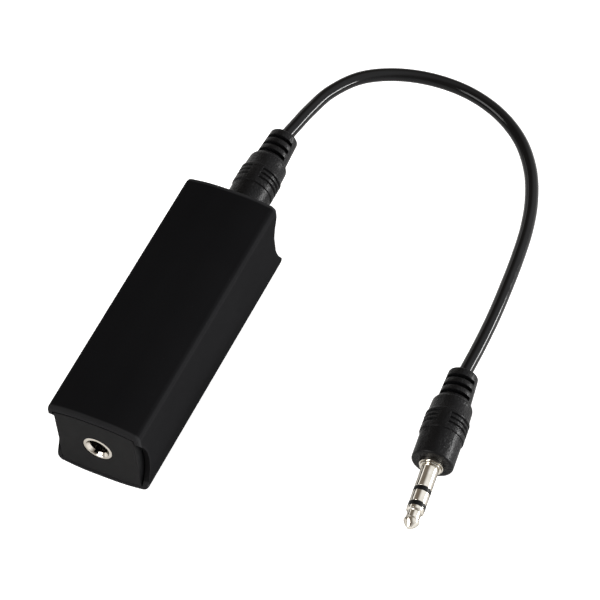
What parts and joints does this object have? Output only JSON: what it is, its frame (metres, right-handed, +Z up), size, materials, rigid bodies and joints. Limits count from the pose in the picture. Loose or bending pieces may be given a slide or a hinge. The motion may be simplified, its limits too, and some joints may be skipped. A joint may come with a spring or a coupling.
{
  "type": "ground loop isolator",
  "caption": "Square-section black box with a stereo audio socket in one end and a short moulded patch lead plugged into the other, isolating an audio line.",
  "frame": {"origin": "centre of the box's base, on the surface it stands on", "axes": "+Y along the box from its socket to its lead, +Z up, +X towards the side on which the lead lies"},
  "size_m": [0.0733, 0.1145, 0.02],
  "materials": {
    "case_plastic": "fine satin black ABS",
    "cap_plastic": "satin black ABS",
    "jack_plastic": "satin black nylon",
    "nickel_plate": "polished nickel plate",
    "spring_metal": "tinned phosphor bronze",
    "board_laminate": "green solder mask on glass-fibre laminate",
    "core_steel": "laminated steel",
    "bobbin_plastic": "satin black nylon",
    "copper_winding": "enamelled copper wire",
    "solder_pin": "tinned brass",
    "moulding_pvc": "soft black PVC with a slight sheen",
    "insulator_plastic": "black insulator",
    "cord_pvc": "glossy black PVC"
  },
  "bodies": {
    "root": {"sleeve": "case_plastic", "front_end_cap": "cap_plastic", "rear_end_cap": "cap_plastic", "circuit_board": "board_laminate", "front_jack_bush": "nickel_plate", "front_jack_housing": "jack_plastic", "front_jack_tip_contact": "spring_metal", "front_jack_ring_contact": "spring_metal", "front_jack_ground_lug": "spring_metal", "front_transformer_core": "core_steel", "front_transformer_bobbin": "bobbin_plastic", "front_transformer_winding": "copper_winding", "front_transformer_pin_1": "solder_pin", "front_transformer_pin_2": "solder_pin", "front_transformer_pin_3": "solder_pin", "front_transformer_pin_4": "solder_pin", "rear_jack_bush": "nickel_plate", "rear_jack_housing": "jack_plastic", "rear_jack_tip_contact": "spring_metal", "rear_jack_ring_contact": "spring_metal", "rear_jack_ground_lug": "spring_metal", "rear_transformer_core": "core_steel", "rear_transformer_bobbin": "bobbin_plastic", "rear_transformer_winding": "copper_winding", "rear_transformer_pin_1": "solder_pin", "rear_transformer_pin_2": "solder_pin", "rear_transformer_pin_3": "solder_pin", "rear_transformer_pin_4": "solder_pin", "rear_plug_moulding": "moulding_pvc", "rear_plug_sleeve_contact": "nickel_plate", "rear_plug_rear_insulator": "insulator_plastic", "rear_plug_ring_contact": "nickel_plate", "rear_plug_front_insulator": "insulator_plastic", "rear_plug_tip_contact": "nickel_plate", "free_plug_moulding": "moulding_pvc", "free_plug_sleeve_contact": "nickel_plate", "free_plug_rear_insulator": "insulator_plastic", "free_plug_ring_contact": "nickel_plate", "free_plug_front_insulator": "insulator_plastic", "free_plug_tip_contact": "nickel_plate", "lead_cord": "cord_pvc"}
  },
  "joints": []
}
